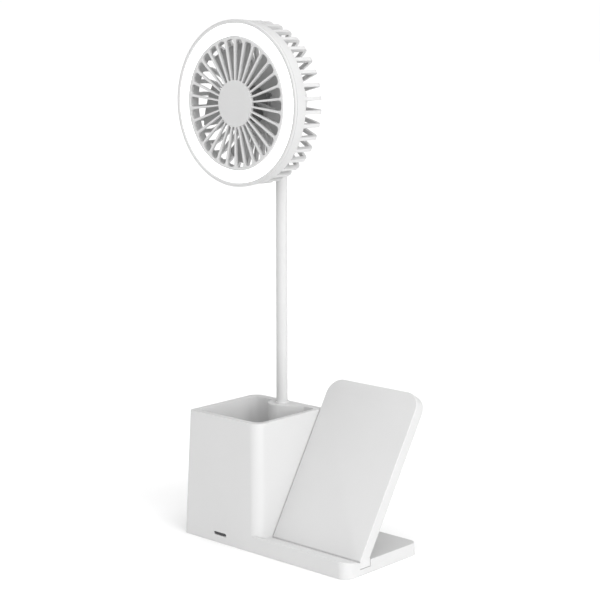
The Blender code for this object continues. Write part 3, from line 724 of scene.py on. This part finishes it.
def front_look():
    """Front frame, lit ring and grille."""
    bottom = FRAME_DEPTH - 1.6
    trough_r = HEAD_R - BAND_WALL - 0.2
    rim = [(LIGHT_R, 0.3), (LIGHT_R + 0.4, 0.0), (HEAD_R, 0.0), (HEAD_R, SEAM_DEPTH),
           (trough_r, SEAM_DEPTH), (trough_r, FRAME_DEPTH), (GRILLE_R - 1.6, FRAME_DEPTH),
           (GRILLE_R - 1.6, 2.9), (GRILLE_R, 2.9), (GRILLE_R, bottom), (LIGHT_R - 0.4, bottom),
           (LIGHT_R - 0.4, 2.4), (LIGHT_R, 2.4)]
    radii = [0.2, 0.3, 0.7, 0.15, 0.2, 0.2, 0.5, 0.5, 0.2, 0.2, 0.2, 0.2, 0.1]
    show(turned("front_frame_look", rounded(rim, radii)[::-1], 160), "housing_white", "head",
         ["front_frame"], HEAD)

    low, high = LIGHT_LOW.y - HEAD_Y, LIGHT_HIGH.y - HEAD_Y
    lens = rounded([(GRILLE_R + GAP, low), (LIGHT_R - GAP, low), (LIGHT_R - GAP, high),
                    (GRILLE_R + GAP, high)], [0.5, 0.5, 0.2, 0.2])
    show(turned("light_ring_look", lens[::-1], 160), "light_white", "head", ["light_diffuser"], HEAD)

    inner_half = math.radians(180 / SPOKES) * VENT_INNER_R - 0.6
    outer_half = math.radians(180 / SPOKES) * VENT_OUTER_R - 1.15
    slot = arc((VENT_OUTER_R - VENT_CORNER, outer_half - VENT_CORNER), VENT_CORNER, 90, 0, 6)
    slot += [(x, -y) for x, y in reversed(slot)]
    slot += [(VENT_INNER_R, -inner_half), (VENT_INNER_R, inner_half)]
    loops = [arc((0, 0), GRILLE_R, 0, 357.5, 143)]
    for index in range(SPOKES):
        turn = 2 * math.pi * index / SPOKES
        loops.append([(x * math.cos(turn) - y * math.sin(turn), x * math.sin(turn) + y * math.cos(turn))
                      for x, y in slot])
    depth = GRILLE_HIGH.y - GRILLE_LOW.y
    grille = prism("front_grille_look", loops, 0.0, depth, edge=0.5, steps=3)
    show(grille, "housing_white", "head", ["front_grille"], HEAD, angle=40)


def rear_look():
    """Side band, cage of bent ribs and the motor's disc."""
    inner = HEAD_R - BAND_WALL
    band = rounded([(inner, SEAM_DEPTH + GAP), (HEAD_R, SEAM_DEPTH + GAP),
                    (HEAD_R - BAND_TAPER, BAND_DEPTH), (inner, BAND_DEPTH)],
                   [0.15, 0.3, 0.4, 0.5])
    ring = turned("band", band[::-1], 160)
    outer = HEAD_R - BAND_TAPER - 0.2
    start = BAND_DEPTH - 2.0
    centre = (outer - RIB_BEND, HEAD_DEPTH - RIB_BEND)
    rib = [(outer, start)] + arc(centre, RIB_BEND, 0, 90, 12)
    rib += [(DISC_R - 1.8, HEAD_DEPTH), (DISC_R - 1.8, HEAD_DEPTH - 2.6)]
    rib += arc(centre, RIB_BEND - RIB_THICK + 0.2, 90, 0, 8) + [(outer - RIB_THICK + 0.2, start)]
    ribs = prism("ribs", [rib], -RIB_WIDTH / 2, RIB_WIDTH / 2, "Y", edge=0.22, steps=2)
    ribs.data.transform(Matrix.Rotation(math.pi / RIBS, 4, "Z"))
    around(ribs, RIBS)
    low = HEAD_DEPTH - DISC_T
    disc = turned("disc", rounded([(2.9, low), (DISC_R, low), (DISC_R, HEAD_DEPTH), (2.9, HEAD_DEPTH)],
                                  [0.2, 0.7, 0.7, 0.2])[::-1], 96)
    show(merge("rear_shell_look", [ring, ribs, disc]), "housing_white", "head",
         ["rear_shell"], HEAD, angle=38)


def blade(turn):
    """One pitched blade with a rounded outline, thickest at its middle."""
    work = bmesh.new()
    bmesh.ops.create_grid(work, x_segments=20, y_segments=16, size=0.5)
    for vertex in work.verts:
        out = vertex.co.x + 0.5
        chord = vertex.co.y
        radius = BLADE_ROOT_R + (BLADE_TIP_R - BLADE_ROOT_R) * out
        spread = math.radians(44 - 4 * out)
        tip = 1.0 - 0.30 * (2 * chord) ** 2 * max(0.0, out - 0.6) / 0.4
        radius = BLADE_ROOT_R + (radius - BLADE_ROOT_R) * (0.9 + 0.1 * tip)
        angle = turn + chord * spread + math.radians(14) * out
        depth = 13.0 + chord * 11.0 + 1.5 * math.cos(math.pi * chord)
        vertex.co = Vector((radius * math.cos(angle), radius * math.sin(angle), depth)) * MM
    mesh = bpy.data.meshes.new("blade")
    work.to_mesh(mesh)
    work.free()
    obj = link_object("blade", mesh)
    thick = obj.modifiers.new("thickness", "SOLIDIFY")
    thick.thickness = BLADE_THICK * MM
    thick.offset = 0.0
    soft = obj.modifiers.new("soft", "BEVEL")
    soft.width = 0.4 * MM
    soft.segments = 2
    return bake(obj)


def impeller_look():
    """Impeller with smooth white blades on a hub; blades and hub are coloured darker as painted shade, the hub
    near black.
    """
    cup = [(0, 6.5), (13.0, 6.5), (14.5, 8.0), (14.5, 19.0), (13.0, 19.0), (13.0, 8.6), (0, 8.6)]
    radii = [0, 1.2, 1.2, 0.3, 0.3, 0.5, 0]
    hub = turned("impeller_hub_look", rounded(cup, radii)[::-1], 96, closed=False)
    blades = [blade(IMPELLER_TURN + 2 * math.pi * index / BLADES) for index in range(BLADES)]
    show(merge("impeller_look", blades), "blade_white", "impeller", ["impeller"], HEAD)
    show(hub, "blade_white", "impeller", ["impeller"], HEAD)
    # painted shade: the hub's white finish is swapped for the near-black painted shade colour
    hub.data.materials[0] = HUB_PAINTED_SHADE


def hub_look():
    """Rear housing, its lid and the two buttons."""
    cup = [(0, HUB_FRONT), (HUB_R, HUB_FRONT), (HUB_R, HUB_BACK), (HUB_R - 1.8, HUB_BACK),
           (HUB_R - 1.8, HUB_FRONT + 2), (0, HUB_FRONT + 2)]
    shell = turned("hub_housing_look", rounded(cup, [0, 1.2, 0.25, 0.2, 0.3, 0])[::-1], 128, closed=False)
    hole = turned("hole", [(0, 30), (NECK_R + GAP, 30), (NECK_R + GAP, 5), (0, 5)], 64, closed=False)
    hole.data.transform(Matrix.Rotation(-math.pi / 2, 4, "X"))
    boolean(shell, [at(hole, 0, 0, NECK_Y - HEAD_Y)], "DIFFERENCE")
    show(shell, "housing_white", "head", ["hub_housing"], HEAD)
    start = LID_LOW.y - HEAD_Y
    cover = [(0, LID_BACK), (HUB_R, LID_BACK), (HUB_R, start), (0, start)]
    lid = turned("hub_cover_look", rounded(cover, [0, 1.4, 0.25, 0]), 128, closed=False)
    holes = []
    for side in (-1, 1):
        hole = turned("hole", [(0, LID_BACK + 4), (3.2, LID_BACK + 4), (3.2, start - 4), (0, start - 4)], 48,
                      closed=False)
        holes.append(at(hole, 0, side * BUTTON_SPACING))
    boolean(lid, holes, "DIFFERENCE")
    show(lid, "housing_white", "head", ["hub_cover"], HEAD)
    for side, name in ((-1, "light"), (1, "fan")):
        low, high = span("%s_button" % name)
        back = high.y - HEAD_Y
        press = [(0, back - 0.25), (1.6, back), (2.9, back), (2.9, back - 2.9), (3.8, back - 2.9),
                 (3.8, back - 3.7), (1.2, back - 3.7), (1.2, back - 4.0), (0, back - 4.0)]
        radii = [0, 0.6, 0.5, 0.1, 0.2, 0.2, 0.1, 0.1, 0]
        button = turned("%s_button_look" % name, rounded(press, radii), 64, closed=False)
        at(button, 0, side * BUTTON_SPACING)
        show(button, "cover_grey", "%s_button" % name, ["%s_button" % name], HEAD)


# ---------------------------------------------------------------- stage

# Brightness of the surround: a white horizon, and a dimmer sky that is brighter in front of the object
HORIZON = 1.02
SKY_EVEN = 0.37
SKY_FRONT = 0.78
HORIZON_LOW = 0.03
HORIZON_HIGH = 0.12
# Name, energy, angle across in degrees, and the direction that the light comes from
SUNS = [
    ("key_light", 1.5, 50.0, (0.86, -0.30, 0.35)),
    ("top_light", 1.57, 60.0, (0.1, 0.1, 1.0)),
    ("right_light", 0.86, 40.0, (1.0, 0.0, 0.2)),
]
CAMERA_PLACE = (0.7622, -0.8319, 0.3762)
CAMERA_DOWN = 9.83
CAMERA_TURN = 42.45
CAMERA_LENS = 96.2
FLOOR_HALF = 12.0


def floor():
    work = bmesh.new()
    bmesh.ops.create_grid(work, x_segments=24, y_segments=24, size=FLOOR_HALF)
    mesh = bpy.data.meshes.new("floor")
    work.to_mesh(mesh)
    work.free()
    obj = link_object("floor", mesh)
    made = Recipe("floor_look")
    clouds = made.noise(400.0, 3.0)
    made.link(made.mix(made.ramp(clouds, 0.0, 1.0), (0.93, 0.93, 0.93), (0.90, 0.90, 0.90)),
              made.shader.inputs["Base Color"])
    made.shader.inputs["Roughness"].default_value = 0.9
    made.shader.inputs["Specular IOR Level"].default_value = 0.0
    obj.data.materials.append(made.material)


def sun(name, strength, angle, source):
    """A distant soft light shining from the direction source."""
    data = bpy.data.lights.new(name, "SUN")
    data.energy = strength
    data.angle = math.radians(angle)
    obj = link_object(name, data)
    obj.rotation_euler = Vector(source).to_track_quat("Z", "Y").to_euler()
    return obj


def lighting():
    """Soft suns and a pale surround, white along the horizon and dimmer above it."""
    world = bpy.data.worlds.new("surround")
    SCENE.world = world
    world.use_nodes = True
    tree = world.node_tree
    back = tree.nodes["Background"]
    back.inputs["Color"].default_value = (1.0, 1.0, 1.0, 1.0)
    coords = tree.nodes.new("ShaderNodeTexCoord")
    parts = tree.nodes.new("ShaderNodeSeparateXYZ")
    tree.links.new(coords.outputs["Generated"], parts.inputs["Vector"])

    def node_math(operation, first, second):
        made = tree.nodes.new("ShaderNodeMath")
        made.operation = operation
        for socket, value in zip(made.inputs, (first, second)):
            if isinstance(value, float):
                socket.default_value = value
            else:
                tree.links.new(value, socket)
        return made.outputs["Value"]

    toward_front = node_math("MAXIMUM", node_math("MULTIPLY", parts.outputs["Y"], -1.0), 0.0)
    sky = node_math("ADD", node_math("MULTIPLY", toward_front, SKY_FRONT), SKY_EVEN)
    height = tree.nodes.new("ShaderNodeMapRange")
    height.interpolation_type = "SMOOTHSTEP"
    height.inputs["From Min"].default_value = HORIZON_LOW
    height.inputs["From Max"].default_value = HORIZON_HIGH
    tree.links.new(parts.outputs["Z"], height.inputs["Value"])
    raised = height.outputs["Result"]
    horizon = node_math("MULTIPLY", node_math("SUBTRACT", 1.0, raised), HORIZON)
    total = node_math("ADD", horizon, node_math("MULTIPLY", raised, sky))
    tree.links.new(total, back.inputs["Strength"])
    for name, energy, angle, source in SUNS:
        sun(name, energy, angle, source)


def camera():
    """A long lens, to the object's front right and a little above it."""
    data = bpy.data.cameras.new("camera")
    data.sensor_width = 36.0
    data.lens = CAMERA_LENS
    data.clip_start = 0.05
    data.clip_end = 60.0
    obj = link_object("camera", data)
    obj.location = CAMERA_PLACE
    obj.rotation_euler = (math.radians(90.0 - CAMERA_DOWN), 0.0, math.radians(CAMERA_TURN))
    SCENE.camera = obj


def dress_cad():
    """Give each CAD node that stays its own finish."""
    chosen = {item["node"]: item["material_slot"] for item in frame["record"]["subparts"]}
    for name, node in frame["nodes"].items():
        node.data.materials.clear()
        node.data.materials.append(MATERIALS[chosen[name]])


dress_cad()
base_look()
lens_look()
stand_look()
neck_look()
front_look()
rear_look()
impeller_look()
hub_look()
floor()
lighting()
camera()
SCENE.view_settings.view_transform = "Standard"
